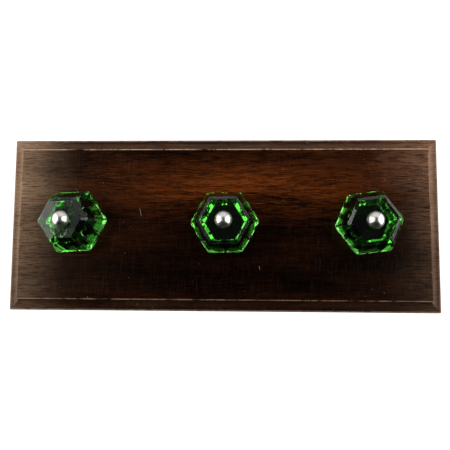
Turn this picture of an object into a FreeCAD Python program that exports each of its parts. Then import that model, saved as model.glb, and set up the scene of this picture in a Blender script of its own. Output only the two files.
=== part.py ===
import FreeCAD
import Part
import math
import os
import Sketcher

# A wall rack: a moulded hardwood board with three hexagonal pressed-glass knobs.
#
# Row frame: +Z is up, +X runs along the board to the right, and -Y points from the wall into the
# room. The origin is in the wall plane, midway between the two wall screws that carry the rack.
# Every piece is drawn lying down, with its local +Z pointing into the room and its local +Y up, and
# its Placement stands it up against the wall.

DOC = FreeCAD.newDocument("knob_rack")

SIZES = {
    # Board: a 12 inch blank with a quirk and cove cut round its front face.
    "board_length": 304.8,
    "board_width": 123.0,
    "board_thick": 19.0,
    "board_corner": 1.0,
    "mould_width": 8.2,
    "mould_lip": 2.0,
    "mould_quirk": 1.2,
    "lip_round": 0.8,
    "hang_drop": 35.0,
    # Knob stations along the board, and how far each knob has been turned. They were marked out
    # and tightened by hand, so neither is perfectly regular.
    "left_station": -103.5,
    "centre_station": 1.7,
    "right_station": 98.2,
    "left_turn": 3.0,
    "centre_turn": 1.5,
    "right_turn": 7.6,
    # Glass knob: hexagonal sections, by corner radius, height off the board and corner rounding.
    "base_corner": 13.5,
    "neck_corner": 13.7,
    "neck_height": 1.6,
    "flare_corner": 17.6,
    "flare_height": 7.5,
    "flare_round": 1.6,
    "widest_corner": 23.8,
    "widest_height": 11.0,
    "widest_round": 2.6,
    "rim_corner": 22.9,
    "rim_height": 13.5,
    "rim_round": 2.2,
    "shoulder_corner": 17.9,
    "shoulder_height": 26.5,
    "shoulder_round": 0.8,
    "table_corner": 15.5,
    "table_height": 29.0,
    "table_round": 0.5,
    "base_round": 0.8,
    # The knobs were pressed by hand and aren't quite true: how far each one's sections stand off
    # its bolt, towards its own local X, and how wide its shoulder and table are against the rest.
    "left_base_shift": 1.7,
    "left_shoulder_shift": 0.0,
    "left_table_shift": -1.0,
    "left_shoulder_share": 0.94,
    "left_table_share": 0.90,
    "centre_base_shift": 0.2,
    "centre_shoulder_shift": 0.0,
    "centre_table_shift": 0.0,
    "centre_shoulder_share": 1.0,
    "centre_table_share": 1.0,
    "right_base_shift": 0.9,
    "right_shoulder_shift": 0.5,
    "right_table_shift": 0.5,
    "right_shoulder_share": 1.0,
    "right_table_share": 1.0,
    "glass_bore": 4.2,
    "seat_bore": 10.0,
    "seat_depth": 1.0,
    # Dome-headed through bolt, M4.
    "bolt_diameter": 4.0,
    "bolt_lead": 0.5,
    "dome_diameter": 11.4,
    "dome_land": 0.5,
    "bolt_overrun": 1.5,
    "board_bore": 4.5,
    "nut_pocket": 14.0,
    "nut_pocket_depth": 8.0,
    # Washers and nut.
    "head_washer_diameter": 9.0,
    "head_washer_thick": 0.5,
    "washer_bore": 4.3,
    "base_washer_diameter": 9.4,
    "back_washer_diameter": 12.0,
    "back_washer_thick": 1.0,
    "nut_flats": 7.0,
    "nut_thick": 3.2,
    "nut_bore": 4.04,
    # Flush keyhole hangers and their countersunk screws.
    "hanger_spacing": 150.0,
    "plate_wide": 16.0,
    "plate_tall": 40.0,
    "plate_thick": 2.0,
    "plate_corner": 2.0,
    "plate_gap": 0.2,
    "keyhole_entry": 9.0,
    "keyhole_slot": 5.0,
    "keyhole_travel": 10.0,
    "relief_wide": 11.0,
    "relief_depth": 9.0,
    "screw_offset": 15.0,
    "screw_clearance": 3.2,
    "screw_sink": 1.2,
    "screw_shank": 2.8,
    "screw_length": 12.0,
    "pilot_diameter": 3.0,
    "drive_slot": 0.7,
    "drive_depth": 0.6,
}

SHEET = DOC.addObject("Spreadsheet::Sheet", "Sizes")
for row, (alias, number) in enumerate(SIZES.items(), start=1):
    SHEET.set(f"A{row}", alias)
    SHEET.set(f"B{row}", str(number))
    SHEET.setAlias(f"B{row}", alias)
DOC.recompute()

STATIONS = ("left", "centre", "right")
HEXAGON_TURN = 60
TINY = 1e-7
ALL_THROUGH = 400.0
UPRIGHT = FreeCAD.Rotation(FreeCAD.Vector(1, 0, 0), 90)


def value(expression):
    """Return the number that an expression over the sheet gives."""
    result = SHEET.evalExpression(str(expression))
    return float(getattr(result, "Value", result))


def new_body(label):
    """Start a sub-part."""
    body = DOC.addObject("PartDesign::Body", label)
    body.Label = label
    return body


def new_sketch(body, name, plane="XY_Plane", height=None):
    """Attach a sketch to one of the body's origin planes, lifted off it by an expression."""
    sketch = body.newObject("Sketcher::SketchObject", name)
    support = [item for item in body.Origin.OriginFeatures if item.Role == plane][0]
    sketch.AttachmentSupport = (support, "")
    sketch.MapMode = "FlatFace"
    if height is not None:
        sketch.setExpression("AttachmentOffset.Base.z", height)
    return sketch


def tie_point(sketch, edge, end, across, along):
    """Hold one end of an edge at the position that two expressions give."""
    for kind, expression, axis in (("DistanceX", across, -2), ("DistanceY", along, -1)):
        number = value(expression)
        if abs(number) < TINY:
            sketch.addConstraint(Sketcher.Constraint("PointOnObject", edge, end, axis))
            continue
        index = sketch.addConstraint(Sketcher.Constraint(kind, -1, 1, edge, end, number))
        sketch.setExpression(f"Constraints[{index}]", str(expression))


def tie_radius(sketch, edge, expression):
    """Hold the radius of an arc or circle to an expression."""
    index = sketch.addConstraint(Sketcher.Constraint("Radius", edge, value(expression)))
    sketch.setExpression(f"Constraints[{index}]", str(expression))


def arc_centre(start, finish, radius, turn):
    """Return the centre of the short arc between two points. A turn of 1 is anticlockwise."""
    chord = finish - start
    middle = (start + finish) * 0.5
    rise = math.sqrt(max(radius ** 2 - (chord.Length / 2) ** 2, 0.0))
    sideways = FreeCAD.Vector(-chord.y, chord.x, 0).normalize()
    return middle + sideways * rise * turn


def draw_outline(sketch, corners):
    """Draw a closed outline through corners (x, y), or (x, y, radius, turn) where an arc leaves."""
    points = [FreeCAD.Vector(value(corner[0]), value(corner[1]), 0) for corner in corners]
    ends = []
    for index, corner in enumerate(corners):
        start = points[index]
        finish = points[(index + 1) % len(points)]
        if len(corner) == 2:
            edge = sketch.addGeometry(Part.LineSegment(start, finish), False)
            ends.append((edge, 1, 2))
            continue
        radius = value(corner[2])
        centre = arc_centre(start, finish, radius, corner[3])
        first, last = (start, finish) if corner[3] > 0 else (finish, start)
        angles = [math.atan2(point.y - centre.y, point.x - centre.x) for point in (first, last)]
        if angles[1] < angles[0]:
            angles[1] += 2 * math.pi
        circle = Part.Circle(centre, FreeCAD.Vector(0, 0, 1), radius)
        edge = sketch.addGeometry(Part.ArcOfCircle(circle, *angles), False)
        ends.append((edge, 1, 2) if corner[3] > 0 else (edge, 2, 1))
    for index, corner in enumerate(corners):
        edge, start_end, finish_end = ends[index]
        next_edge, next_start, _ = ends[(index + 1) % len(ends)]
        sketch.addConstraint(
            Sketcher.Constraint("Coincident", edge, finish_end, next_edge, next_start))
        tie_point(sketch, edge, start_end, corner[0], corner[1])
        if len(corner) > 2:
            tie_radius(sketch, edge, corner[2])


def draw_circle(sketch, diameter, across="0", along="0"):
    """Draw a circle of a given diameter about a point."""
    centre = FreeCAD.Vector(value(across), value(along), 0)
    circle = Part.Circle(centre, FreeCAD.Vector(0, 0, 1), value(diameter) / 2)
    edge = sketch.addGeometry(circle, False)
    tie_point(sketch, edge, 3, across, along)
    tie_radius(sketch, edge, f"{diameter} / 2")


def draw_box(sketch, wide, tall, across="0", along="0"):
    """Draw a rectangle about a point."""
    sides = (("-", "-"), ("+", "-"), ("+", "+"), ("-", "+"))
    draw_outline(sketch, [
        (f"{across} {side} ({wide}) / 2", f"{along} {lift} ({tall}) / 2") for side, lift in sides])


def draw_rounded_hexagon(sketch, corner, rounding, shift):
    """Draw a hexagon, moved along local X, where two of its corners lie. Arcs round them all."""
    cutback = f"{rounding} * tan(30 deg)"
    outline = []
    for turn in range(0, 360, HEXAGON_TURN):
        for heading, arc in ((turn - 120, True), (turn + 120, False)):
            point = (f"{shift} + {corner} * cos({turn} deg) + {cutback} * cos({heading} deg)",
                     f"{corner} * sin({turn} deg) + {cutback} * sin({heading} deg)")
            outline.append(point + (rounding, 1) if arc else point)
    draw_outline(sketch, outline)


def pad(body, sketch, length):
    """Raise a sketch towards local +Z."""
    feature = body.newObject("PartDesign::Pad", f"{body.Name}_pad")
    feature.Profile = sketch
    feature.setExpression("Length", length)
    DOC.recompute()


def pocket(body, sketch, depth=None, reverse=False):
    """Cut a sketch into the body, by a depth or right through, and check that it cuts."""
    before = body.Shape.Volume
    feature = body.newObject("PartDesign::Pocket", f"{body.Name}_pocket")
    feature.Profile = sketch
    feature.Reversed = reverse
    if depth is None:
        feature.Midplane = True
        feature.Length = ALL_THROUGH
    else:
        feature.setExpression("Length", depth)
    DOC.recompute()
    if body.Shape.Volume > before - TINY:
        raise RuntimeError(f"{sketch.Label} cuts nothing from {body.Label}")


def turned(body, sketch, kind="PartDesign::Revolution"):
    """Turn an XZ sketch round the body's own Z axis, as a solid or as a groove."""
    feature = body.newObject(kind, f"{body.Name}_turned")
    feature.Profile = sketch
    feature.ReferenceAxis = (sketch, ["V_Axis"])
    feature.Angle = 360
    DOC.recompute()


def round_upright_edges(body, radius):
    """Round the edges of a body that run along its local Z."""
    base = body.Tip
    edges = [f"Edge{index}" for index, edge in enumerate(base.Shape.Edges, start=1)
             if abs(edge.tangentAt(edge.FirstParameter).z) > 1 - TINY]
    rounding = body.newObject("PartDesign::Fillet", f"{body.Name}_corners")
    rounding.Base = (base, edges)
    rounding.setExpression("Radius", radius)
    DOC.recompute()


def stand(body, across="0", out="0", up="0", spin="0"):
    """Stand a sub-part up on the wall: its own +Z faces the room, after a spin about that axis."""
    own_spin = FreeCAD.Rotation(FreeCAD.Vector(0, 0, 1), value(spin))
    body.Placement = FreeCAD.Placement(FreeCAD.Vector(), UPRIGHT * own_spin)
    for axis, expression in (("x", across), ("y", f"-({out})"), ("z", up)):
        body.setExpression(f"Placement.Base.{axis}", expression)


def mould_profile(half_span, side):
    """Outline of the waste cut from one edge: quirk, cove, then out past the rounded lip."""
    edge = f"{side} * ({half_span}"
    arris = f"{edge} - Sizes.mould_width)"
    lip = f"{edge} - Sizes.mould_lip)"
    nose = f"{edge} - Sizes.lip_round)"
    face = "Sizes.board_thick"
    cove = "Sizes.mould_width - Sizes.mould_lip"
    floor = f"{face} - Sizes.mould_quirk - ({cove})"
    return [
        (arris, f"{face} + 1"),
        (arris, f"{face} - Sizes.mould_quirk", cove, side),
        (lip, floor),
        (nose, floor, "Sizes.lip_round", -side),
        (f"{edge})", f"{floor} - Sizes.lip_round"),
        (f"{edge} + 1)", f"{floor} - Sizes.lip_round"),
        (f"{edge} + 1)", f"{face} + 1"),
    ]


def mould_edges(body, plane, half_span, name):
    """Run the moulding along the two edges that face each other across a plane."""
    sketch = new_sketch(body, name, plane)
    for side in (1, -1):
        draw_outline(sketch, mould_profile(half_span, side))
    DOC.recompute()
    pocket(body, sketch)


def keyhole_centres():
    """Local X of each hanger on the board."""
    return ("-Sizes.hanger_spacing / 2", "Sizes.hanger_spacing / 2")


def screw_heights():
    """Height of each hanger screw, measured from the wall-screw line."""
    middle = "-Sizes.keyhole_travel / 2"
    return (f"{middle} + Sizes.screw_offset", f"{middle} - Sizes.screw_offset")


def draw_slot(sketch, wide, top, bottom, across="0"):
    """Draw an upright slot with round ends whose centres are at top and bottom."""
    radius = value(f"{wide} / 2")
    ends = []
    for height, first_angle in ((top, 0), (bottom, math.pi)):
        centre = FreeCAD.Vector(value(across), value(height), 0)
        circle = Part.Circle(centre, FreeCAD.Vector(0, 0, 1), radius)
        arc = Part.ArcOfCircle(circle, first_angle, first_angle + math.pi)
        edge = sketch.addGeometry(arc, False)
        tie_point(sketch, edge, 3, across, height)
        tie_radius(sketch, edge, f"{wide} / 2")
        for end in (1, 2):
            sketch.addConstraint(Sketcher.Constraint("Horizontal", edge, 3, edge, end))
        ends.append((edge, arc))
    for (edge, arc), (other_edge, other_arc) in (ends, reversed(ends)):
        side = Part.LineSegment(arc.EndPoint, other_arc.StartPoint)
        line = sketch.addGeometry(side, False)
        sketch.addConstraint(Sketcher.Constraint("Coincident", edge, 2, line, 1))
        sketch.addConstraint(Sketcher.Constraint("Coincident", line, 2, other_edge, 1))


def backboard():
    """The moulded board, with bolt bores, nut pockets and the hangers' recesses in its back."""
    body = new_body("backboard")
    blank = new_sketch(body, "board_outline")
    draw_box(blank, "Sizes.board_length", "Sizes.board_width")
    pad(body, blank, "Sizes.board_thick")

    round_upright_edges(body, "Sizes.board_corner")

    mould_edges(body, "YZ_Plane", "Sizes.board_width / 2", "long_edge_mould")
    mould_edges(body, "XZ_Plane", "Sizes.board_length / 2", "end_mould")

    bores = new_sketch(body, "bolt_bores")
    pockets = new_sketch(body, "nut_pockets")
    for station in STATIONS:
        draw_circle(bores, "Sizes.board_bore", f"Sizes.{station}_station")
        draw_circle(pockets, "Sizes.nut_pocket", f"Sizes.{station}_station")
    pocket(body, bores)
    pocket(body, pockets, "Sizes.nut_pocket_depth", reverse=True)

    recesses = new_sketch(body, "plate_recesses")
    reliefs = new_sketch(body, "screw_head_reliefs")
    pilots = new_sketch(body, "screw_pilots")
    for centre in keyhole_centres():
        draw_box(recesses, "Sizes.plate_wide + 2 * Sizes.plate_gap",
                 "Sizes.plate_tall + 2 * Sizes.plate_gap",
                 centre, "Sizes.hang_drop - Sizes.keyhole_travel / 2")
        draw_slot(reliefs, "Sizes.relief_wide", "Sizes.hang_drop",
                  "Sizes.hang_drop - Sizes.keyhole_travel", centre)
        for height in screw_heights():
            draw_circle(pilots, "Sizes.pilot_diameter", centre, f"Sizes.hang_drop + {height}")
    pocket(body, recesses, "Sizes.plate_thick", reverse=True)
    pocket(body, reliefs, "Sizes.relief_depth", reverse=True)
    pocket(body, pilots, "Sizes.screw_length + 1", reverse=True)
    stand(body, up="-Sizes.hang_drop")
    return body


def glass_knob(station):
    """A pressed-glass knob: neck, two-step flare, drafted rim, long facets, bevel and flat table."""
    body = new_body(f"glass_knob_{station}")
    base_shift = f"Sizes.{station}_base_shift"
    shoulder_shift = f"Sizes.{station}_shoulder_shift"
    table_shift = f"Sizes.{station}_table_shift"
    shoulder_corner = f"Sizes.shoulder_corner * Sizes.{station}_shoulder_share"
    table_corner = f"Sizes.table_corner * Sizes.{station}_table_share"
    sections = []
    for name, corner, height, rounding, shift in (
            ("base", "Sizes.base_corner", None, "base", base_shift),
            ("neck", "Sizes.neck_corner", "Sizes.neck_height", "base", base_shift),
            ("flare", "Sizes.flare_corner", "Sizes.flare_height", "flare", base_shift),
            ("widest", "Sizes.widest_corner", "Sizes.widest_height", "widest", base_shift),
            ("rim", "Sizes.rim_corner", "Sizes.rim_height", "rim", base_shift),
            ("shoulder", shoulder_corner, "Sizes.shoulder_height", "shoulder", shoulder_shift),
            ("table", table_corner, "Sizes.table_height", "table", table_shift)):
        sketch = new_sketch(body, f"{station}_{name}_section", height=height)
        draw_rounded_hexagon(sketch, corner, f"Sizes.{rounding}_round", shift)
        sections.append(sketch)
    loft = body.newObject("PartDesign::AdditiveLoft", f"{station}_loft")
    loft.Profile = sections[0]
    loft.Sections = sections[1:]
    loft.Ruled = True
    DOC.recompute()

    bore = new_sketch(body, f"{station}_bore")
    draw_circle(bore, "Sizes.glass_bore")
    pocket(body, bore)
    seat = new_sketch(body, f"{station}_seat")
    draw_circle(seat, "Sizes.seat_bore")
    pocket(body, seat, "Sizes.seat_depth", reverse=True)
    stand(body, f"Sizes.{station}_station", "Sizes.board_thick", "-Sizes.hang_drop",
          f"Sizes.{station}_turn")
    return body


def dome_bolt(station):
    """A through bolt with a plain dome head, from its head on the table to its end past the nut."""
    body = new_body(f"dome_bolt_{station}")
    profile = new_sketch(body, f"{station}_bolt_profile", "XZ_Plane")
    end = ("-(Sizes.table_height + Sizes.head_washer_thick + Sizes.board_thick"
           " - Sizes.nut_pocket_depth + Sizes.back_washer_thick + Sizes.nut_thick"
           " + Sizes.bolt_overrun)")
    draw_outline(profile, [
        ("0", end),
        ("Sizes.bolt_diameter / 2 - Sizes.bolt_lead", end),
        ("Sizes.bolt_diameter / 2", f"{end} + Sizes.bolt_lead"),
        ("Sizes.bolt_diameter / 2", "0"),
        ("Sizes.dome_diameter / 2", "0"),
        ("Sizes.dome_diameter / 2", "Sizes.dome_land", "Sizes.dome_diameter / 2", 1),
        ("0", "Sizes.dome_land + Sizes.dome_diameter / 2"),
    ])
    turned(body, profile)
    stand(body, f"Sizes.{station}_station",
          "Sizes.board_thick + Sizes.table_height + Sizes.head_washer_thick", "-Sizes.hang_drop")
    return body


def washer(label, station, diameter, thick, out):
    """A flat washer on the bolt, its back face a given distance off the wall."""
    body = new_body(label)
    ring = new_sketch(body, f"{label}_ring")
    draw_circle(ring, diameter)
    draw_circle(ring, "Sizes.washer_bore")
    pad(body, ring, thick)
    stand(body, f"Sizes.{station}_station", out, "-Sizes.hang_drop")
    return body


def hex_nut(station):
    """An M4 nut, chamfered at both faces, clamping the bolt from behind."""
    body = new_body(f"hex_nut_{station}")
    blank = new_sketch(body, f"{station}_nut_blank")
    corner = "(Sizes.nut_flats / 2 / cos(30 deg))"
    draw_outline(blank, [(f"{corner} * cos({turn} deg)", f"{corner} * sin({turn} deg)")
                         for turn in range(0, 360, HEXAGON_TURN)])
    draw_circle(blank, "Sizes.nut_bore")
    pad(body, blank, "Sizes.nut_thick")
    chamfer = new_sketch(body, f"{station}_nut_chamfer", "XZ_Plane")
    face = "Sizes.nut_flats / 2"
    reach = f"({corner} - {face} + 0.5)"
    draw_outline(chamfer, [
        (face, "0"),
        (f"{face} + {reach}", "0"),
        (f"{face} + {reach}", f"{reach} * tan(30 deg)"),
    ])
    draw_outline(chamfer, [
        (face, "Sizes.nut_thick"),
        (f"{face} + {reach}", f"Sizes.nut_thick - {reach} * tan(30 deg)"),
        (f"{face} + {reach}", "Sizes.nut_thick"),
    ])
    turned(body, chamfer, "PartDesign::Groove")
    out = "Sizes.nut_pocket_depth - Sizes.back_washer_thick - Sizes.nut_thick"
    stand(body, f"Sizes.{station}_station", out, "-Sizes.hang_drop")
    return body


def keyhole_plate(side, across):
    """A flush steel hanger: the wall screw's head goes in low and its shank slides up the slot."""
    body = new_body(f"keyhole_plate_{side}")
    blank = new_sketch(body, f"{side}_plate_outline")
    draw_box(blank, "Sizes.plate_wide", "Sizes.plate_tall", along="-Sizes.keyhole_travel / 2")
    pad(body, blank, "Sizes.plate_thick")
    round_upright_edges(body, "Sizes.plate_corner")

    slot = new_sketch(body, f"{side}_keyhole_slot")
    draw_slot(slot, "Sizes.keyhole_slot", "0", "-Sizes.keyhole_travel")
    pocket(body, slot)
    entry = new_sketch(body, f"{side}_keyhole_entry")
    draw_circle(entry, "Sizes.keyhole_entry", along="-Sizes.keyhole_travel")
    pocket(body, entry)
    holes = new_sketch(body, f"{side}_screw_holes")
    for height in screw_heights():
        draw_circle(holes, "Sizes.screw_clearance", along=height)
    pocket(body, holes)

    radius = value("Sizes.screw_clearance / 2")
    base = body.Tip
    rims = [f"Edge{index}" for index, edge in enumerate(base.Shape.Edges, start=1)
            if isinstance(edge.Curve, Part.Circle) and abs(edge.Curve.Radius - radius) < TINY
            and abs(edge.Curve.Center.z) < TINY]
    sink = body.newObject("PartDesign::Chamfer", f"{side}_countersinks")
    sink.Base = (base, rims)
    sink.setExpression("Size", "Sizes.screw_sink")
    DOC.recompute()
    stand(body, across)
    return body


def hanger_screw(index, across, height):
    """One countersunk wood screw with a slotted head, flush with the back of its plate."""
    head = DOC.addObject("Part::Cone", f"screw_head_{index}")
    head.setExpression("Radius1", "Sizes.screw_clearance / 2 + Sizes.screw_sink - 0.1")
    head.setExpression("Radius2", "Sizes.screw_clearance / 2 - 0.1")
    head.setExpression("Height", "Sizes.screw_sink")
    shank = DOC.addObject("Part::Cylinder", f"screw_shank_{index}")
    shank.setExpression("Radius", "Sizes.screw_shank / 2")
    shank.setExpression("Height", "Sizes.screw_length")
    blank = DOC.addObject("Part::Fuse", f"screw_blank_{index}")
    blank.Base = head
    blank.Tool = shank
    slot = DOC.addObject("Part::Box", f"screw_slot_{index}")
    slot.setExpression("Length", "2 * Sizes.screw_clearance")
    slot.setExpression("Width", "Sizes.drive_slot")
    slot.setExpression("Height", "Sizes.drive_depth")
    slot.setExpression("Placement.Base.x", "-Sizes.screw_clearance")
    slot.setExpression("Placement.Base.y", "-Sizes.drive_slot / 2")
    screw = DOC.addObject("Part::Cut", f"screw_{index}")
    screw.Base = blank
    screw.Tool = slot
    stand(screw, across, up=height)
    return screw


def hanger_screws():
    """The four identical hanger screws, as one group of separate solids."""
    screws = []
    for across in keyhole_centres():
        for height in screw_heights():
            screws.append(hanger_screw(len(screws) + 1, across, height))
    group = DOC.addObject("Part::Compound", "hanger_screws")
    group.Label = "hanger_screws"
    group.Links = screws
    return group


def knob_set(station):
    """One glass knob with its bolt, washers and nut."""
    front = "Sizes.board_thick"
    behind = "Sizes.nut_pocket_depth - Sizes.back_washer_thick"
    return [
        glass_knob(station),
        dome_bolt(station),
        washer(f"head_washer_{station}", station, "Sizes.head_washer_diameter",
               "Sizes.head_washer_thick", f"{front} + Sizes.table_height"),
        washer(f"base_washer_{station}", station, "Sizes.base_washer_diameter",
               "Sizes.seat_depth", front),
        washer(f"back_washer_{station}", station, "Sizes.back_washer_diameter",
               "Sizes.back_washer_thick", behind),
        hex_nut(station),
    ]


def check(pieces):
    """Stop if any object failed or any sub-part's shape is missing or broken."""
    for item in DOC.Objects:
        if {"Invalid", "Error"} & set(item.State):
            raise RuntimeError(f"{item.Label} is {item.State}")
    for piece in pieces:
        if piece.Shape.isNull() or not piece.Shape.isValid():
            raise RuntimeError(f"{piece.Label} has no valid shape")


def main():
    """Build every sub-part, check it and write it out."""
    pieces = [backboard()]
    for station in STATIONS:
        pieces += knob_set(station)
    for side, across in zip(("left", "right"), keyhole_centres()):
        pieces.append(keyhole_plate(side, across))
    pieces.append(hanger_screws())
    DOC.recompute()
    check(pieces)
    os.makedirs("parts", exist_ok=True)
    for piece in pieces:
        piece.Shape.exportStep(f"parts/{piece.Label}.step")
        box = piece.Shape.BoundBox
        print(f"{piece.Label:22s} {len(piece.Shape.Solids)} solid  {piece.Shape.Volume:10.1f} mm3"
              f"  x {box.XMin:7.1f} {box.XMax:7.1f}  y {box.YMin:6.1f} {box.YMax:6.1f}"
              f"  z {box.ZMin:6.1f} {box.ZMax:6.1f}")


main()
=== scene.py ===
import math
from types import SimpleNamespace

import bmesh
import bpy
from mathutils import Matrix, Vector


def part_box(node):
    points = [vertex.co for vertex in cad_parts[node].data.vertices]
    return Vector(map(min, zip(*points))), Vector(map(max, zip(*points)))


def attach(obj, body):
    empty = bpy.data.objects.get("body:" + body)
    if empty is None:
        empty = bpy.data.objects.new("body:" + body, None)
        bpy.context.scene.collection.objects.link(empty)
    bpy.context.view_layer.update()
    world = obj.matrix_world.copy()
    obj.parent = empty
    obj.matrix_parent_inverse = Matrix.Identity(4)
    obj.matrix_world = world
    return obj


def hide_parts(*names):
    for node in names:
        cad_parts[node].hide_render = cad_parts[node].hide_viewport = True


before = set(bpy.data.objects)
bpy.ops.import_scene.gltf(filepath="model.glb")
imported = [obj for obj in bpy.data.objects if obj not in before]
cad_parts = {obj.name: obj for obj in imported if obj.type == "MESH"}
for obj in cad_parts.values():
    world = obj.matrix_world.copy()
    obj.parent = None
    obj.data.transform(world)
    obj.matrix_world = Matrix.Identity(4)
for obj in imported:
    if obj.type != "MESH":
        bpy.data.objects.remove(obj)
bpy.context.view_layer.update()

MM = 0.001
STATIONS = ("left", "centre", "right")


# ---------------------------------------------------------------- measures read from the frame

def node_points(node):
    """Every vertex of a CAD node, in the row frame."""
    return [vertex.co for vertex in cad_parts[node].data.vertices]


BOARD_LOW, BOARD_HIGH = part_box("backboard")
BOARD_MIDDLE = (BOARD_LOW + BOARD_HIGH) / 2
HALF_LONG = (BOARD_HIGH.x - BOARD_LOW.x) / 2
HALF_TALL = (BOARD_HIGH.z - BOARD_LOW.z) / 2
FRONT = BOARD_LOW.y
BACK = BOARD_HIGH.y
FACE_POINTS = [point for point in node_points("backboard") if point.y < FRONT + 0.01 * MM]
MOULD = BOARD_HIGH.z - max(point.z for point in FACE_POINTS)


# ---------------------------------------------------------------- small mesh kit

def new_piece(name, mesh, material, body, stands_for):
    """Put a finished mesh in the scene in place of CAD nodes, on its body, with its material."""
    piece = bpy.data.objects.new(name, mesh)
    bpy.context.scene.collection.objects.link(piece)
    mesh.materials.clear()
    mesh.materials.append(material)
    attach(piece, body)
    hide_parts(*stands_for)


def finished(builder, name, sharp_degrees=35):
    """Turn a bmesh into a mesh with outward normals, smooth except across sharp arrises."""
    bmesh.ops.recalc_face_normals(builder, faces=builder.faces)
    mesh = bpy.data.meshes.new(name)
    builder.to_mesh(mesh)
    builder.free()
    mesh.shade_smooth()
    mesh.set_sharp_from_angle(angle=math.radians(sharp_degrees))
    return mesh


def join_rings(builder, rings, closed=False):
    """Skin a list of vertex rings of equal length with quads."""
    pairs = list(zip(rings, rings[1:]))
    if closed:
        pairs.append((rings[-1], rings[0]))
    for ring, following in pairs:
        count = len(ring)
        for index in range(count):
            beside = (index + 1) % count
            builder.faces.new((ring[index], ring[beside], following[beside], following[index]))


def soften(outline, radii, steps=4):
    """Round the inner corners of an open outline, by curves about as tight as the given radii."""
    result = [Vector(outline[0])]
    for before, corner, after, radius in zip(outline, outline[1:], outline[2:], radii):
        corner = Vector(corner)
        back = Vector(before) - corner
        ahead = Vector(after) - corner
        half = back.angle(ahead) / 2
        reach = min(radius / math.tan(half), back.length * 0.45, ahead.length * 0.45)
        start = corner + back.normalized() * reach
        end = corner + ahead.normalized() * reach
        for step in range(steps + 1):
            part = step / steps
            result.append(start.lerp(corner, part).lerp(corner.lerp(end, part), part))
    result.append(Vector(outline[-1]))
    return result


def quarter(steps):
    """Evenly spaced angles over a quarter turn, both ends included."""
    return [math.pi / 2 * step / steps for step in range(steps + 1)]


# ---------------------------------------------------------------- shader kit

class Graph:
    """A material's node tree, with one short call for each node."""

    def __init__(self, name):
        self.material = bpy.data.materials.new(name)
        self.material.use_nodes = True
        self.tree = self.material.node_tree
        self.tree.nodes.clear()
        self.output = self.tree.nodes.new("ShaderNodeOutputMaterial")
        self.place = self.add("ShaderNodeTexCoord").outputs["Object"]

    def add(self, kind, inputs=None, **settings):
        """Add a node, set its properties and fill its inputs with values or sockets."""
        node = self.tree.nodes.new(kind)
        for key, setting in settings.items():
            setattr(node, key, setting)
        for key, given in (inputs or {}).items():
            if isinstance(given, bpy.types.NodeSocket):
                self.tree.links.new(given, node.inputs[key])
            else:
                node.inputs[key].default_value = given
        return node

    def noise(self, scale, vector=None, detail=4.0, roughness=0.55):
        """Noise from 0 to 1 over a position, with so many cells to the metre along each axis."""
        stretched = self.add("ShaderNodeVectorMath", {0: vector or self.place, 1: scale},
                             operation="MULTIPLY")
        node = self.add("ShaderNodeTexNoise", {
            "Vector": stretched.outputs[0], "Scale": 1.0, "Detail": detail,
            "Roughness": roughness})
        return node.outputs["Fac"]

    def maths(self, operation, first, second=0.0):
        """One arithmetic step."""
        return self.add("ShaderNodeMath", {0: first, 1: second}, operation=operation).outputs[0]

    def plus(self, first, second):
        """The sum of two values."""
        return self.maths("ADD", first, second)

    def minus(self, first, second):
        """The first value less the second."""
        return self.maths("SUBTRACT", first, second)

    def times(self, product, *factors):
        """The product of two or more values."""
        for factor in factors:
            product = self.maths("MULTIPLY", product, factor)
        return product

    def size(self, value):
        """A value without its sign."""
        return self.maths("ABSOLUTE", value)

    def ramp(self, factor, low, high, start=0.0, end=1.0):
        """Map a range of a factor smoothly to another range."""
        node = self.add("ShaderNodeMapRange", {
            "Value": factor, "From Min": low, "From Max": high, "To Min": start, "To Max": end},
            interpolation_type="SMOOTHSTEP")
        return node.outputs[0]

    def mix(self, factor, first, second):
        """Mix two colours."""
        return self.add("ShaderNodeMix", {0: factor, 6: first, 7: second},
                        data_type="RGBA").outputs[2]

    def parts(self):
        """The X, Y and Z of the position."""
        return self.add("ShaderNodeSeparateXYZ", {0: self.place}).outputs

    def bump(self, height, distance, strength):
        """A bump from a height map, its full height in metres."""
        node = self.add("ShaderNodeBump", {
            "Height": height, "Distance": distance, "Strength": strength})
        return node.outputs[0]

    def surface(self, inputs):
        """Finish with a Principled surface."""
        shader = self.add("ShaderNodeBsdfPrincipled", inputs)
        self.tree.links.new(shader.outputs[0], self.output.inputs["Surface"])
        return self.material


# ---------------------------------------------------------------- stained wood

# The stain, from full strength to thin, and the heartwood under it.
DEEP = (0.0018, 0.0004, 0.0002, 1)
BROWN = (0.070, 0.0205, 0.0060, 1)
RED = (0.25, 0.066, 0.012, 1)

# Where the stain is worn or marked, and painted light: sheen at the ends, light in the coves,
# highlights on the arris and lip.
RUBBED_AND_SHEEN = (0.24, 0.145, 0.092, 1)
PAINTED_LEFT_SHEEN = (0.38, 0.265, 0.175, 1)
GOLD = (0.20, 0.095, 0.035, 1)
SCRATCHED = (0.17, 0.095, 0.055, 1)
BARE_ARRIS_AND_HIGHLIGHT = (0.46, 0.29, 0.19, 1)
PAINTED_COVE_LIGHT = (0.25, 0.155, 0.105, 1)
WORN_LIP_AND_HIGHLIGHT = (0.27, 0.19, 0.145, 1)
DUST = (0.42, 0.32, 0.24, 1)
NICKED = (0.26, 0.20, 0.13, 1)

# Middle and half length of each nick in the board's varnish.
NICKS = (
    (BOARD_MIDDLE.x - 0.38 * HALF_LONG, BOARD_MIDDLE.z + 0.13 * HALF_TALL, 3.4 * MM),
    (BOARD_MIDDLE.x + 0.17 * HALF_LONG, BOARD_MIDDLE.z - 0.50 * HALF_TALL, 1.6 * MM),
)


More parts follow.
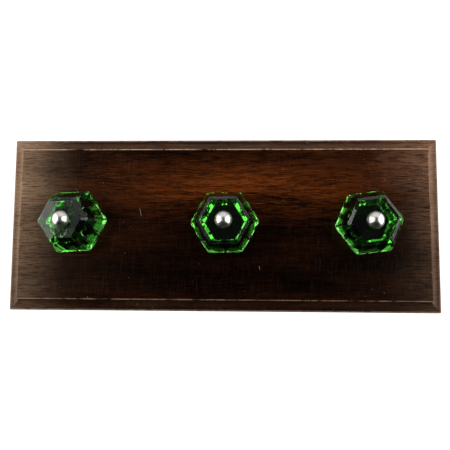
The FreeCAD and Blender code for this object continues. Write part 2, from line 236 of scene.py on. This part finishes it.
def read_grain(graph):
    """The board's position, its grain at several scales and a painted light from above, as named
    sockets.

    The grain runs along X, so its noises have far fewer cells that way than up the board. The
    sanding scratches in cross run the other way.
    """
    across, out, up = graph.parts()
    # The grain wanders a little, so everything along it is read from a gently warped position.
    wander = graph.noise((7, 9, 14), detail=2)
    drift = graph.times(graph.minus(wander, 0.5), 8 * MM)
    warped = graph.add("ShaderNodeCombineXYZ", {
        0: across, 1: out, 2: graph.plus(up, drift)}).outputs[0]
    return SimpleNamespace(
        across=across, out=out, up=up, warped=warped,
        figure=graph.noise((6, 20, 34), warped, detail=5, roughness=0.6),
        bands=graph.noise((16, 90, 300), warped, detail=5, roughness=0.75),
        fibres=graph.noise((110, 300, 1900), warped, detail=5, roughness=0.8),
        gold=graph.noise((24, 240, 900), warped, detail=4, roughness=0.75),
        pores=graph.ramp(graph.noise((200, 1500, 3200), warped, detail=2), 0.57, 0.68),
        cross=graph.ramp(graph.noise((1500, 60, 70), detail=4, roughness=0.7), 0.50, 0.74),
        cloud=graph.noise((14, 14, 22), detail=3),
        # Painted shade: nearly black along the bottom of the board, warmer towards the top where
        # the light falls.
        lift=graph.ramp(up, BOARD_LOW.z + 0.03, BOARD_HIGH.z - 0.02, 0.38, 1.0))


def stain_colour(graph, grain):
    """Streaked dark stain, with red-brown heartwood along the upper middle of the board."""
    tone = graph.times(grain.figure, 0.60)
    tone = graph.plus(tone, graph.times(grain.bands, 0.30))
    tone = graph.plus(tone, graph.times(grain.fibres, 0.50))
    tone = graph.ramp(tone, 0.58, 0.90)
    # Painted shade: the stain's streaks fade to near black towards the bottom of the board.
    colour = graph.mix(graph.times(tone, grain.lift), DEEP, BROWN)

    # The heartwood fades out over an ellipse, its edge broken up by the figure.
    middle = (0.12 * HALF_LONG, 0, BOARD_MIDDLE.z + 0.39 * HALF_TALL)
    per_reach = (1 / (0.85 * HALF_LONG), 0, 1 / (0.42 * HALF_TALL))
    offset = graph.add("ShaderNodeVectorMath", {0: grain.warped, 1: middle},
                       operation="SUBTRACT").outputs[0]
    shares = graph.add("ShaderNodeVectorMath", {0: offset, 1: per_reach},
                       operation="MULTIPLY").outputs[0]
    away = graph.add("ShaderNodeVectorMath", {0: shares}, operation="LENGTH").outputs["Value"]
    uneven = graph.times(graph.minus(grain.figure, 0.5), 1.8)
    heart = graph.times(graph.ramp(graph.plus(away, uneven), 1.1, 0.0), tone)
    return graph.mix(heart, colour, RED)


def rubbed_and_sheened_ends(graph, grain, colour):
    """Paler towards the two ends: partly stain rubbed thin, partly a painted sheen of the side
    lights, stronger towards the top.
    """
    patchy = graph.times(graph.minus(grain.cloud, 0.5), 60 * MM)
    past = graph.minus(graph.size(grain.across), 0.74 * HALF_LONG)
    end = graph.ramp(graph.plus(past, patchy), 0.0, 55 * MM)
    by_fibre = graph.ramp(grain.fibres, 0.38, 0.60, 0.30, 1.0)
    lit_towards_top = graph.ramp(grain.up, BOARD_LOW.z, BOARD_HIGH.z - 20 * MM, 0.25, 1.0)
    colour = graph.mix(graph.times(end, by_fibre, lit_towards_top), colour, RUBBED_AND_SHEEN)

    # The left end has a painted sheen of the left light, strongest at the top.
    left_sheen = graph.plus(grain.across, graph.times(patchy, 0.7))
    left_sheen = graph.ramp(left_sheen, -0.68 * HALF_LONG, -1.02 * HALF_LONG)
    lit_towards_top = graph.ramp(grain.up, BOARD_LOW.z, BOARD_HIGH.z, 0.25, 0.75)
    by_figure = graph.ramp(grain.figure, 0.38, 0.62, 0.45, 1.0)
    return graph.mix(graph.times(left_sheen, lit_towards_top, by_figure), colour, PAINTED_LEFT_SHEEN)


def fine_lines(graph, grain, colour):
    """Dark fibres and pores, golden lines, and fine cross scratches from sanding."""
    dark = graph.times(graph.ramp(grain.fibres, 0.50, 0.38), 0.65)
    colour = graph.mix(dark, colour, DEEP)
    colour = graph.mix(graph.times(grain.pores, 0.7), colour, DEEP)
    # Painted light from above: the golden lines show more towards the top.
    lit_towards_top = graph.ramp(grain.lift, 0.30, 1.0, 0.20, 0.7)
    gold = graph.times(graph.ramp(grain.gold, 0.60, 0.78), lit_towards_top)
    colour = graph.mix(gold, colour, GOLD)
    return graph.mix(graph.times(grain.cross, 0.12), colour, SCRATCHED)


def worn_and_lit_moulding(graph, grain, colour):
    """Stain worn off the moulding's inner arris and outer lip, each with a painted highlight, and
    painted light in its coves.
    """
    sideways = graph.minus(HALF_LONG, graph.size(grain.across))
    height = graph.minus(grain.up, BOARD_MIDDLE.z)
    upward = graph.minus(HALF_TALL, graph.size(height))
    inset = graph.maths("MINIMUM", sideways, upward)
    on_end = graph.ramp(graph.minus(sideways, upward), 0.5 * MM, -0.5 * MM)
    patchy = graph.ramp(graph.noise((110, 300, 110), detail=5, roughness=0.75), 0.34, 0.58)

    # The long arrises are rubbed most and carry a painted highlight, above all the top one, where
    # the light falls from above.
    from_arris = graph.size(graph.minus(inset, MOULD + 0.1 * MM))
    near_face = graph.ramp(grain.out, FRONT + 1.6 * MM, FRONT + 0.5 * MM)
    arris = graph.times(graph.ramp(from_arris, 1.0 * MM, 0.2 * MM), near_face)
    by_side = graph.ramp(height, -40 * MM, 50 * MM, 0.5, 1.0)
    by_side = graph.minus(by_side, graph.times(on_end, 0.50))
    colour = graph.mix(graph.times(arris, patchy, by_side), colour, BARE_ARRIS_AND_HIGHLIGHT)

    # Painted light in the coves: paler than the face, above all at the two ends and towards the
    # top, darker next to the arris and the lip, and streaked with the grain.
    in_front = graph.ramp(grain.out, FRONT + 11 * MM, FRONT + 8.6 * MM)
    past_arris = graph.ramp(inset, MOULD + 0.4 * MM, MOULD - 0.8 * MM)
    past_lip = graph.ramp(inset, 1.4 * MM, 4.5 * MM, 0.25, 1.0)
    in_cove = graph.times(past_arris, past_lip)
    pale = graph.maths("MAXIMUM", graph.times(on_end, 0.72), 0.26)
    streaks = graph.ramp(graph.plus(grain.fibres, grain.cloud), 0.7, 1.2, 0.35, 1.0)
    lit_towards_top = graph.ramp(height, -60 * MM, 20 * MM, 0.45, 1.0)
    pale = graph.times(pale, streaks, lit_towards_top, graph.times(in_cove, in_front))
    colour = graph.mix(pale, colour, PAINTED_COVE_LIGHT)

    # The outer lip: stain worn off, and a painted highlight where it catches the light.
    lip = graph.times(graph.ramp(inset, 1.6 * MM, 0.5 * MM), in_front)
    lip = graph.times(lip, graph.ramp(patchy, 0.0, 1.0, 0.25, 0.8))
    return graph.mix(lip, colour, WORN_LIP_AND_HIGHLIGHT)


def nicks_and_specks(graph, grain, colour):
    """Dust specks all over, and small nicks in the varnish of the face."""
    specks = graph.ramp(graph.noise((420, 420, 420), detail=1), 0.745, 0.785, 0.0, 0.20)
    colour = graph.mix(specks, colour, DUST)
    on_face = graph.ramp(grain.out, FRONT + 1.0 * MM, FRONT + 0.4 * MM)
    lean = 0.2
    for middle_x, middle_z, reach in NICKS:
        along = graph.minus(grain.up, middle_z)
        beside = graph.plus(graph.minus(grain.across, middle_x), graph.times(along, lean))
        line = graph.ramp(graph.size(beside), 0.35 * MM, 0.1 * MM, 0.0, 0.7)
        tapered = graph.ramp(graph.size(along), reach, reach * 0.6)
        colour = graph.mix(graph.times(line, tapered, on_face), colour, NICKED)
    return colour


def stained_wood():
    """Dark stained, varnished hardwood: long grain, pores, red figure and worn pale arrises, with
    painted light: shade towards the bottom, sheen at the ends, light in the coves and highlights
    on the arrises and lip.
    """
    graph = Graph("stained_wood")
    grain = read_grain(graph)
    colour = stain_colour(graph, grain)
    for layer in (rubbed_and_sheened_ends, fine_lines, worn_and_lit_moulding, nicks_and_specks):
        colour = layer(graph, grain, colour)
    rough = graph.plus(0.18, graph.times(grain.cloud, 0.12))
    rough = graph.plus(rough, graph.times(grain.pores, 0.25))
    relief = graph.minus(graph.times(grain.fibres, 0.5), grain.pores)
    relief = graph.plus(relief, graph.times(grain.cross, 0.35))
    return graph.surface({
        "Base Color": colour,
        "Roughness": rough,
        "IOR": 1.5,
        "Specular IOR Level": 0.07,
        "Specular Tint": (1.0, 0.82, 0.66, 1),
        "Normal": graph.bump(relief, 0.02 * MM, 0.5),
    })


# ---------------------------------------------------------------- other materials

def green_glass():
    """Emerald pressed glass: clear, deep where it is thick, faintly wavy from the mould."""
    graph = Graph("green_glass")
    ripple = graph.noise((90, 90, 90), detail=2)
    chill = graph.noise((420, 420, 420), detail=2)
    # The table was pressed flat; the sides and the underside are wavier.
    out = graph.parts()[1]
    wavy = graph.ramp(out, FRONT - 28.5 * MM, FRONT - 25 * MM, 0.10, 0.40)
    relief = graph.plus(ripple, graph.times(chill, wavy))
    material = graph.surface({
        "Base Color": (0.93, 1.0, 0.93, 1),
        "Roughness": 0.0,
        "IOR": 1.52,
        "Transmission Weight": 1.0,
        "Normal": graph.bump(relief, 0.25 * MM, 0.5),
    })
    depth = graph.add("ShaderNodeVolumeAbsorption", {
        "Color": (0.24, 0.76, 0.10, 1), "Density": 55.0})
    graph.tree.links.new(depth.outputs[0], graph.output.inputs["Volume"])
    return material


def metal(name, colour, roughness, wear, brushed=0.0):
    """Plated metal with fine scratches and slight staining."""
    graph = Graph(name)
    scratches = graph.noise((900, 900, 90), detail=5, roughness=0.7)
    stain = graph.noise((160, 160, 160), detail=4)
    dull = tuple(channel * 0.72 for channel in colour[:3]) + (1,)
    tint = graph.mix(graph.times(graph.ramp(stain, 0.5, 0.75), wear), colour, dull)
    rough = graph.plus(roughness, graph.times(scratches, 0.10 + brushed))
    return graph.surface({
        "Base Color": tint,
        "Metallic": 1.0,
        "Roughness": rough,
        "Normal": graph.bump(scratches, 0.01 * MM + 0.03 * MM * brushed, 0.35),
    })


def plastic(name, colour, roughness):
    """Plain moulded washer stock with a fine grain."""
    graph = Graph(name)
    grain = graph.noise((1500, 1500, 1500), detail=3)
    shade = tuple(channel * 0.7 for channel in colour[:3]) + (1,)
    return graph.surface({
        "Base Color": graph.mix(graph.ramp(grain, 0.35, 0.7), colour, shade),
        "Roughness": graph.plus(roughness, graph.times(grain, 0.15)),
        "Normal": graph.bump(grain, 0.02 * MM, 0.5),
    })


# ---------------------------------------------------------------- board

# How far a cutting tool reaches past the surface it starts from.
BEYOND = 1 * MM


def board_outline(builder, inset, depth, corner, steps=6):
    """One rounded rectangle of vertices round the board, inset from its edge at a depth."""
    half_long = HALF_LONG - inset
    half_tall = HALF_TALL - inset
    radius = max(corner - inset, 0.15 * MM)
    ring = []
    for quarter, (side, lift) in enumerate(((1, 1), (-1, 1), (-1, -1), (1, -1))):
        centre_x = side * (half_long - radius)
        centre_z = BOARD_MIDDLE.z + lift * (half_tall - radius)
        for step in range(steps + 1):
            angle = math.pi / 2 * (quarter + step / steps)
            ring.append(builder.verts.new((
                centre_x + radius * math.cos(angle), depth, centre_z + radius * math.sin(angle))))
    return ring


def moulding_profile():
    """Inset and depth down the board's side, from the back arris to the face."""
    lip = 2.0 * MM
    nose = 0.8 * MM
    quirk = 1.2 * MM
    arris = 0.45 * MM
    cove = MOULD - lip
    floor = FRONT + quirk + cove
    profile = [(1.2 * MM, BACK), (0.5 * MM, BACK), (0.15 * MM, BACK - 0.15 * MM),
               (0.0, BACK - 0.5 * MM)]
    for angle in quarter(6):
        profile.append((nose * (1 - math.cos(angle)), floor + nose * (1 - math.sin(angle))))
    for angle in quarter(12):
        profile.append((lip + cove * math.sin(angle), FRONT + quirk + cove * math.cos(angle)))
    for angle in quarter(5):
        profile.append((MOULD + arris * (1 - math.cos(angle)),
                        FRONT + arris * (1 - math.sin(angle))))
    profile.append((MOULD + arris + 0.4 * MM, FRONT))
    return profile


def lathe(builder, outline, centre, segments=48):
    """Turn an outline of (radius, depth) round a Y axis through a centre, closed at both ends."""
    rings = []
    for radius, depth in outline:
        rings.append([builder.verts.new((
            centre.x + radius * math.cos(2 * math.pi * step / segments), depth,
            centre.z + radius * math.sin(2 * math.pi * step / segments)))
            for step in range(segments)])
    join_rings(builder, rings)
    builder.faces.new(rings[0])
    builder.faces.new(list(reversed(rings[-1])))


def slot_prism(builder, centre, wide, top, bottom, depth, steps=12):
    """An upright round-ended prism from behind the board into it."""
    loops = []
    for level in (BACK + BEYOND, depth):
        loop = []
        for start, height in ((0, top), (math.pi, bottom)):
            for step in range(steps + 1):
                angle = start + math.pi * step / steps
                loop.append(builder.verts.new((
                    centre + wide / 2 * math.cos(angle), level,
                    height + wide / 2 * math.sin(angle))))
        loops.append(loop)
    join_rings(builder, loops)
    builder.faces.new(loops[0])
    builder.faces.new(list(reversed(loops[1])))


def box_prism(builder, low, high):
    """A rectangular prism as wide and tall as a box, from behind the board to the box's front."""
    corners = [(low.x, low.z), (high.x, low.z), (high.x, high.z), (low.x, high.z)]
    loops = [[builder.verts.new((x, level, z)) for x, z in corners]
             for level in (BACK + BEYOND, low.y)]
    join_rings(builder, loops)
    builder.faces.new(loops[0])
    builder.faces.new(list(reversed(loops[1])))


def board_cutter():
    """Everything that is bored or sunk into the board, as one tool of separate closed solids."""
    builder = bmesh.new()
    bore = 2.25 * MM
    bore_rim = bore + 0.3 * MM
    chamfer = 0.5 * MM
    for station in STATIONS:
        washer_low, washer_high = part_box(f"back_washer_{station}")
        centre = (washer_low + washer_high) / 2
        pocket = (washer_high.x - washer_low.x) / 2 + 1.0 * MM
        floor = washer_low.y
        lathe(builder, [
            (pocket + chamfer, BACK + BEYOND),
            (pocket + chamfer, BACK),
            (pocket, BACK - chamfer),
            (pocket, floor),
            (bore, floor),
            (bore, FRONT + 0.3 * MM),
            (bore_rim, FRONT),
            (bore_rim, FRONT - BEYOND),
        ], centre)
    gap = Vector((0.2 * MM, 0, 0.2 * MM))
    relief_wide = 11 * MM
    relief_deep = 9 * MM
    drop = 10 * MM
    for side in ("left", "right"):
        low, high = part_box(f"keyhole_plate_{side}")
        middle = (low + high) / 2
        box_prism(builder, low - gap, high + gap)
        slot_prism(builder, middle.x, relief_wide, 0.0, -drop, BACK - relief_deep)
    mesh = bpy.data.meshes.new("board_cutter")
    bmesh.ops.recalc_face_normals(builder, faces=builder.faces)
    builder.to_mesh(mesh)
    builder.free()
    return bpy.data.objects.new("board_cutter", mesh)


def carve(mesh, cutter, sharp_degrees=30):
    """Subtract a tool from a mesh and return the result as a new mesh."""
    blank = bpy.data.objects.new("board_blank", mesh)
    for item in (blank, cutter):
        bpy.context.scene.collection.objects.link(item)
    cut = blank.modifiers.new("carve", "BOOLEAN")
    cut.operation = "DIFFERENCE"
    cut.solver = "EXACT"
    cut.use_self = True
    cut.object = cutter
    bpy.context.view_layer.update()
    result = bpy.data.meshes.new_from_object(
        blank.evaluated_get(bpy.context.evaluated_depsgraph_get()))
    for item in (blank, cutter):
        bpy.data.objects.remove(item)
    result.shade_smooth()
    result.set_sharp_from_angle(angle=math.radians(sharp_degrees))
    return result


def make_board(material):
    """The moulded board with its bores, nut pockets and hanger recesses."""
    builder = bmesh.new()
    rings = [board_outline(builder, inset, depth, 1.2 * MM) for inset, depth in moulding_profile()]
    join_rings(builder, rings)
    builder.faces.new(rings[0])
    builder.faces.new(list(reversed(rings[-1])))
    mesh = carve(finished(builder, "board_blank"), board_cutter())
    new_piece("moulded_board", mesh, material, "rack", ["backboard"])


# ---------------------------------------------------------------- glass knobs

# Height off the board, radius to the sharp corner, and corner rounding of each hexagonal section,
# from the seat up to the table.
SECTIONS = (
    (0.05 * MM, 13.5 * MM, 0.8 * MM),
    (1.6 * MM, 13.7 * MM, 0.8 * MM),
    (7.5 * MM, 17.6 * MM, 1.6 * MM),
    (11.0 * MM, 23.8 * MM, 2.6 * MM),
    (13.5 * MM, 22.9 * MM, 2.2 * MM),
    (26.5 * MM, 17.9 * MM, 0.8 * MM),
    (29.0 * MM, 15.5 * MM, 0.5 * MM),
)
# How tightly the arris at each section is rounded.
ROUNDING = [radius * MM for radius in (0.3, 0.6, 0.6, 0.7, 0.7, 0.35, 0.35)]

# For each knob's base, shoulder and table: how far it stands off the bolt's axis along the knob's
# own X, and its share of the full width. The knobs were pressed by hand and aren't quite true.
FORMS = {
    "left": ((1.7 * MM, 1.0), (0.0, 0.94), (-1.0 * MM, 0.90)),
    "centre": ((0.2 * MM, 1.0), (0.0, 1.0), (0.0, 1.0)),
    "right": ((0.9 * MM, 1.0), (0.5 * MM, 1.0), (0.5 * MM, 1.0)),
}


def knob_axis(station):
    """A point on the line through a knob's bolt."""
    low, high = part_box(f"dome_bolt_{station}")
    return (low + high) / 2


def knob_turn(station):
    """How far a knob is turned from standing with a corner on the X axis."""
    axis = knob_axis(station)
    arms = [Vector((point.x - axis.x, point.z - axis.z))
            for point in node_points(f"glass_knob_{station}")]
    corner = max(arms, key=lambda arm: arm.length)
    turn = math.degrees(math.atan2(corner.y, corner.x))
    return math.radians((turn + 30) % 60 - 30)


def hexagon_point(angle, corner, rounding):
    """Distance from the axis to a rounded hexagon's outline in a direction."""
    sector = abs((angle + math.pi / 6) % (math.pi / 3) - math.pi / 6)
    apothem = corner * math.cos(math.pi / 6)
    flat = apothem / math.cos(math.pi / 6 - sector)
    centre = (apothem - rounding) / math.cos(math.pi / 6)
    across = centre * math.sin(sector)
    along = centre * math.cos(sector)
    if abs(across) < rounding:
        arc = along + math.sqrt(rounding ** 2 - across ** 2)
        return min(flat, arc)
    return flat


def knob_ring(builder, axis, turn, height, reach_at, shift=0.0, segments=96):
    """A ring of vertices round a knob's axis, at the distance that a function of angle gives."""
    ring = []
    middle_x = axis.x + shift * math.cos(turn)
    middle_z = axis.z + shift * math.sin(turn)
    for step in range(segments):
        angle = 2 * math.pi * step / segments
        reach = reach_at(angle)
        ring.append(builder.verts.new((
            middle_x + reach * math.cos(angle + turn), FRONT - height,
            middle_z + reach * math.sin(angle + turn))))
    return ring


def circle_ring(builder, axis, turn, height, radius):
    """A round ring."""
    return knob_ring(builder, axis, turn, height, lambda angle: radius)


def hexagon_ring(builder, axis, turn, height, corner, rounding, shift):
    """A rounded hexagonal ring, moved sideways off the axis."""
    return knob_ring(builder, axis, turn, height,
                     lambda angle: hexagon_point(angle, corner, rounding), shift)


def make_knob(station, material):
    """One pressed-glass knob: seat, neck, flare, rim, long facets, table and bore."""
    node = f"glass_knob_{station}"
    axis = knob_axis(station)
    turn = knob_turn(station)
    base, shoulder, table = FORMS[station]
    forms = [base] * 5 + [shoulder, table]
    sections = [(height, corner * share, cut, shift)
                for (height, corner, cut), (shift, share) in zip(SECTIONS, forms)]
    # A narrower ring lies in the base and in the table, so that both their arrises can be rounded.
    inner = (sections[0][0], sections[0][1] * 0.93, *sections[0][2:])
    crown = (sections[-1][0], sections[-1][1] * 0.95, *sections[-1][2:])
    softened = soften([inner, *sections, crown], ROUNDING)

    bore, seat, seat_deep = 2.1 * MM, 5.0 * MM, 1.0 * MM
    bored = ((SECTIONS[-1][0], bore), (seat_deep, bore), (seat_deep, seat), (SECTIONS[0][0], seat))
    builder = bmesh.new()
    rings = [circle_ring(builder, axis, turn, height, reach) for height, reach in bored]
    for height, corner, cut, shift in softened:
        rings.append(hexagon_ring(builder, axis, turn, height, corner, cut, shift))
    join_rings(builder, rings, closed=True)
    mesh = finished(builder, node, sharp_degrees=50)
    new_piece(f"pressed_glass_{station}", mesh, material, f"{station}_knob", [node])


# ---------------------------------------------------------------- bolts

def thread(builder, axis, start, end, radius, pitch=0.7 * MM, around=24):
    """A right-hand thread along Y as one closed skin: crest, crest, root, root in each pitch."""
    depth_cut = 0.42 * MM
    root = radius - depth_cut
    profile = ((0.00, radius), (0.14, radius), (0.45, root), (0.64, root))
    turns = int((end - start) / pitch) - 1
    columns = []
    for step in range(around):
        angle = 2 * math.pi * step / around
        column = []
        for turn in range(turns + 1):
            for share, reach in profile:
                depth = start + pitch * (turn + share + step / around)
                column.append(builder.verts.new((
                    axis.x + reach * math.cos(angle), depth, axis.z + reach * math.sin(angle))))
        columns.append(column)
    rows = len(columns[0])
    wrap = len(profile)
    for step in range(around):
        column = columns[step]
        last = step == around - 1
        beside = columns[0][wrap:] if last else columns[step + 1]
        for row in range(min(rows, len(beside)) - 1):
            builder.faces.new((column[row], column[row + 1], beside[row + 1], beside[row]))
    close_thread(builder, axis, columns, wrap, start, 0)
    close_thread(builder, axis, columns, wrap, start + pitch * (turns + 1.5), rows - 1)


def close_thread(builder, axis, columns, wrap, depth, row):
    """Cap one end of a thread with a fan round the axis, stepping across the helix's lead."""
    rim = [column[row] for column in columns]
    if row == 0:
        rim += [columns[0][index] for index in range(wrap, 0, -1)]
    else:
        rim += [columns[-1][row - index] for index in range(1, wrap + 1)]
    hub = builder.verts.new((axis.x, depth, axis.z))
    for index, vertex in enumerate(rim):
        builder.faces.new((hub, vertex, rim[(index + 1) % len(rim)]))


def make_bolt(station, material):
    """A bolt with a polished dome head and a cut thread down its whole shank."""
    node = f"dome_bolt_{station}"
    low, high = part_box(node)
    axis = (low + high) / 2
    dome = (high.x - low.x) / 2
    shank = 2 * MM
    land = 0.5 * MM
    seat = low.y + dome + land
    outline = [(shank, seat), (dome - 0.25 * MM, seat), (dome - 0.05 * MM, seat - 0.1 * MM)]
    for angle in quarter(19)[:-1]:
        outline.append((dome * math.cos(angle), low.y + dome - dome * math.sin(angle)))
    outline.append((0.02 * MM, low.y))
    builder = bmesh.new()
    lathe(builder, outline, axis, segments=64)
    thread(builder, axis, seat - 0.3 * MM, high.y, shank)
    mesh = finished(builder, node, sharp_degrees=40)
    new_piece(f"chrome_bolt_{station}", mesh, material, "rack", [node])


# ---------------------------------------------------------------- carried-over hardware

def dress(node, material, bevel=0.0):
    """Give a CAD node its material, and a small rounded arris where it needs one."""
    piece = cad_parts[node]
    for slot in piece.material_slots:
        slot.material = material
    if not piece.material_slots:
        piece.data.materials.append(material)
    if bevel:
        edge = piece.modifiers.new("arris", "BEVEL")
        edge.width = bevel
        edge.segments = 2
        edge.limit_method = "ANGLE"
        edge.angle_limit = math.radians(40)


def dress_hardware():
    """Materials for the washers, nuts, hangers and screws."""
    zinc = metal("zinc_steel", (0.60, 0.61, 0.62, 1), 0.28, wear=0.6, brushed=0.15)
    nylon = plastic("nylon", (0.62, 0.61, 0.55, 1), 0.45)
    rubber = plastic("black_rubber", (0.022, 0.022, 0.022, 1), 0.6)
    for station in STATIONS:
        dress(f"head_washer_{station}", nylon)
        dress(f"base_washer_{station}", rubber)
        dress(f"back_washer_{station}", zinc, 0.12 * MM)
        dress(f"hex_nut_{station}", zinc)
    for side in ("left", "right"):
        dress(f"keyhole_plate_{side}", zinc)
    dress("hanger_screws", zinc)


# ---------------------------------------------------------------- studio

def point_at(item, target):
    """Turn a light or camera so that its -Z faces a target."""
    item.rotation_euler = (Vector(target) - item.location).to_track_quat("-Z", "Y").to_euler()


def soft_panel(name, place, target, wide, tall, radiance):
    """A rectangular diffuser of a given radiance, unseen by the camera."""
    lamp = bpy.data.lights.new(name, "AREA")
    lamp.shape = "RECTANGLE"
    lamp.size = wide
    lamp.size_y = tall
    lamp.energy = radiance * math.pi * wide * tall
    panel = bpy.data.objects.new(name, lamp)
    panel.location = place
    point_at(panel, target)
    panel.visible_camera = False
    bpy.context.scene.collection.objects.link(panel)


def make_lights():
    """Two big side diffusers, a weaker one above and a faint one at the front left."""
    middle = Vector((0, FRONT, BOARD_MIDDLE.z)) + Vector((0, -0.43, 0.03))
    away = 0.42
    for name, side in (("left_panel", -1), ("right_panel", 1)):
        soft_panel(name, middle + Vector((side * away, 0, 0)), middle,
                   wide=0.86, tall=0.62, radiance=2.6)
    wing = middle + Vector((0, -0.62, 0))
    soft_panel("left_wing", wing + Vector((-away, 0, 0)), wing,
               wide=0.34, tall=0.66, radiance=0.6)
    soft_panel("top_panel", middle + Vector((0, 0, away)), middle,
               wide=0.8, tall=0.8, radiance=0.8)


def fade(tree, source, low, high, start, end):
    """Map a range of a socket smoothly to another range, in a world's node tree."""
    node = tree.nodes.new("ShaderNodeMapRange")
    node.interpolation_type = "SMOOTHSTEP"
    for key, number in (("From Min", low), ("From Max", high), ("To Min", start), ("To Max", end)):
        node.inputs[key].default_value = number
    tree.links.new(source, node.inputs["Value"])
    return node.outputs[0]


def make_world():
    """White to the camera; to all other light a room dim in front, bright behind, dark below."""
    world = bpy.data.worlds.new("studio")
    bpy.context.scene.world = world
    world.use_nodes = True
    tree = world.node_tree
    tree.nodes.clear()
    output = tree.nodes.new("ShaderNodeOutputWorld")
    seen = tree.nodes.new("ShaderNodeBackground")
    seen.inputs["Color"].default_value = (1, 1, 1, 1)
    room = tree.nodes.new("ShaderNodeBackground")
    paths = tree.nodes.new("ShaderNodeLightPath")
    blend = tree.nodes.new("ShaderNodeMixShader")
    tree.links.new(paths.outputs["Is Camera Ray"], blend.inputs[0])
    tree.links.new(room.outputs[0], blend.inputs[1])
    tree.links.new(seen.outputs[0], blend.inputs[2])
    tree.links.new(blend.outputs[0], output.inputs[0])

    place = tree.nodes.new("ShaderNodeTexCoord")
    split = tree.nodes.new("ShaderNodeSeparateXYZ")
    tree.links.new(place.outputs["Generated"], split.inputs[0])
    level = tree.nodes.new("ShaderNodeMath")
    level.operation = "MULTIPLY"
    behind = fade(tree, split.outputs["Y"], -0.15, 0.4, 0.13, 1.0)
    above = fade(tree, split.outputs["Z"], -0.85, -0.1, 0.12, 1.0)
    tree.links.new(behind, level.inputs[0])
    tree.links.new(above, level.inputs[1])
    tree.links.new(level.outputs[0], room.inputs["Strength"])


def make_floor():
    """A plain white floor well below the rack, which lights nothing."""
    builder = bmesh.new()
    bmesh.ops.create_grid(builder, x_segments=4, y_segments=4, size=30)
    mesh = bpy.data.meshes.new("floor")
    builder.to_mesh(mesh)
    builder.free()
    graph = Graph("pale_floor")
    glow = graph.add("ShaderNodeEmission", {"Color": (1, 1, 1, 1), "Strength": 1.0})
    graph.tree.links.new(glow.outputs[0], graph.output.inputs["Surface"])
    mesh.materials.append(graph.material)
    floor = bpy.data.objects.new("floor", mesh)
    floor.location.z = BOARD_LOW.z - 1.2
    floor.visible_diffuse = False
    floor.visible_glossy = False
    floor.visible_transmission = False
    bpy.context.scene.collection.objects.link(floor)


def make_camera():
    """A normal lens close in front of the rack, a little right of its middle and below it."""
    data = bpy.data.cameras.new("camera")
    data.sensor_width = 36
    data.lens = 39.43
    data.clip_start = 0.01
    camera = bpy.data.objects.new("camera", data)
    camera.location = Vector((0.01337, FRONT - 0.34348, BOARD_MIDDLE.z - 0.03046))
    camera.rotation_euler = (
        math.radians(90 + 4.912), math.radians(-0.345), math.radians(1.903))
    bpy.context.scene.collection.objects.link(camera)
    bpy.context.scene.camera = camera


def main():
    """Build every piece, dress the carried-over nodes and set up the studio."""
    glass = green_glass()
    chrome = metal("polished_chrome", (0.62, 0.60, 0.57, 1), 0.23, wear=0.3)
    make_board(stained_wood())
    for station in STATIONS:
        make_knob(station, glass)
        make_bolt(station, chrome)
    dress_hardware()
    make_lights()
    make_world()
    make_floor()
    make_camera()
    view = bpy.context.scene.view_settings
    view.view_transform = "Standard"
    view.look = "Medium High Contrast"


main()
